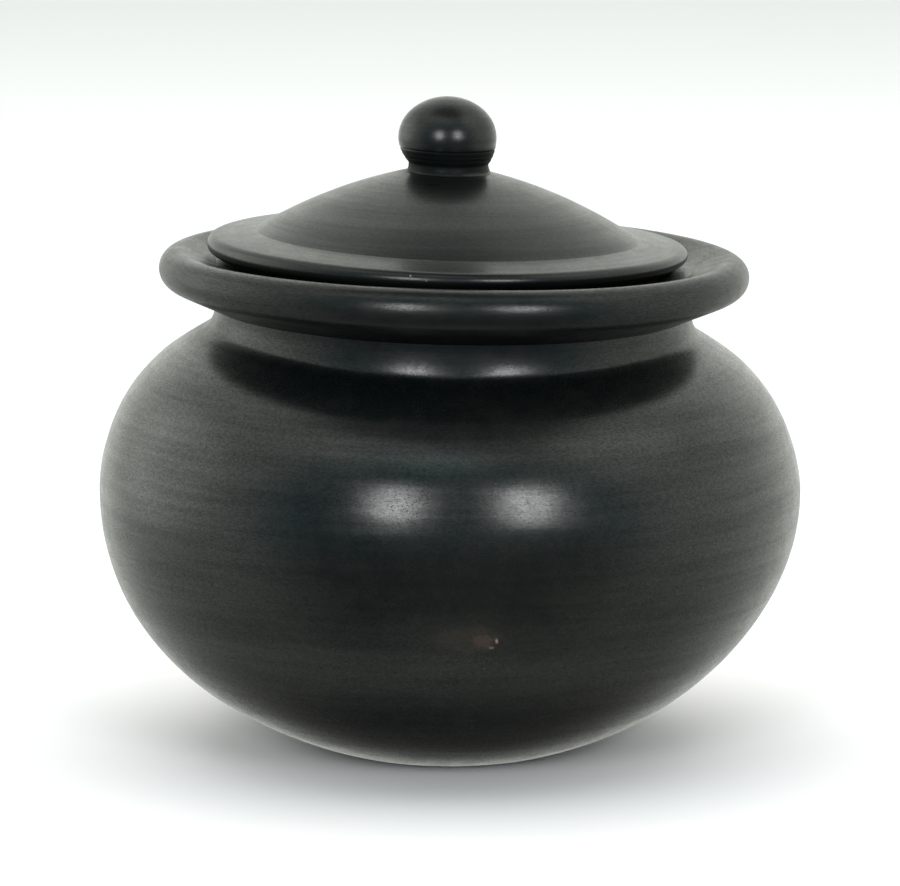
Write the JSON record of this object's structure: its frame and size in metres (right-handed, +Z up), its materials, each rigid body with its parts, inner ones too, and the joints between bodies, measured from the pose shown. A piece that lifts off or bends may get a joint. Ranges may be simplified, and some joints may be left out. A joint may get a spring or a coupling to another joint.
{
  "type": "lidded clay pot",
  "caption": "Round-bellied black clay pot with a flat foot, a rolled rim and a loose domed lid with a ball knob that lifts straight off.",
  "frame": {"origin": "middle of the flat foot, on the surface that the pot stands on", "axes": "+Z up along the axis of the pot; the pot is round, so +X and +Y are any two square directions"},
  "size_m": [0.25, 0.25, 0.2312],
  "materials": {
    "burnished_clay": "satin",
    "lid_clay": "satin",
    "plain_clay": "matte"
  },
  "bodies": {
    "pot": {"bowl": "burnished_clay", "shoulder": "burnished_clay", "neck_collar": "burnished_clay", "rim": "burnished_clay"},
    "lid": {"lid_dome": "lid_clay", "lid_brim": "lid_clay", "lid_locating_ring": "plain_clay", "lid_knob": "lid_clay"}
  },
  "joints": [
    {"name": "lid_lift", "type": "slide", "parent": "pot", "child": "lid", "axis": [0, 0, 1], "range_m": [0, 0.2]}
  ]
}
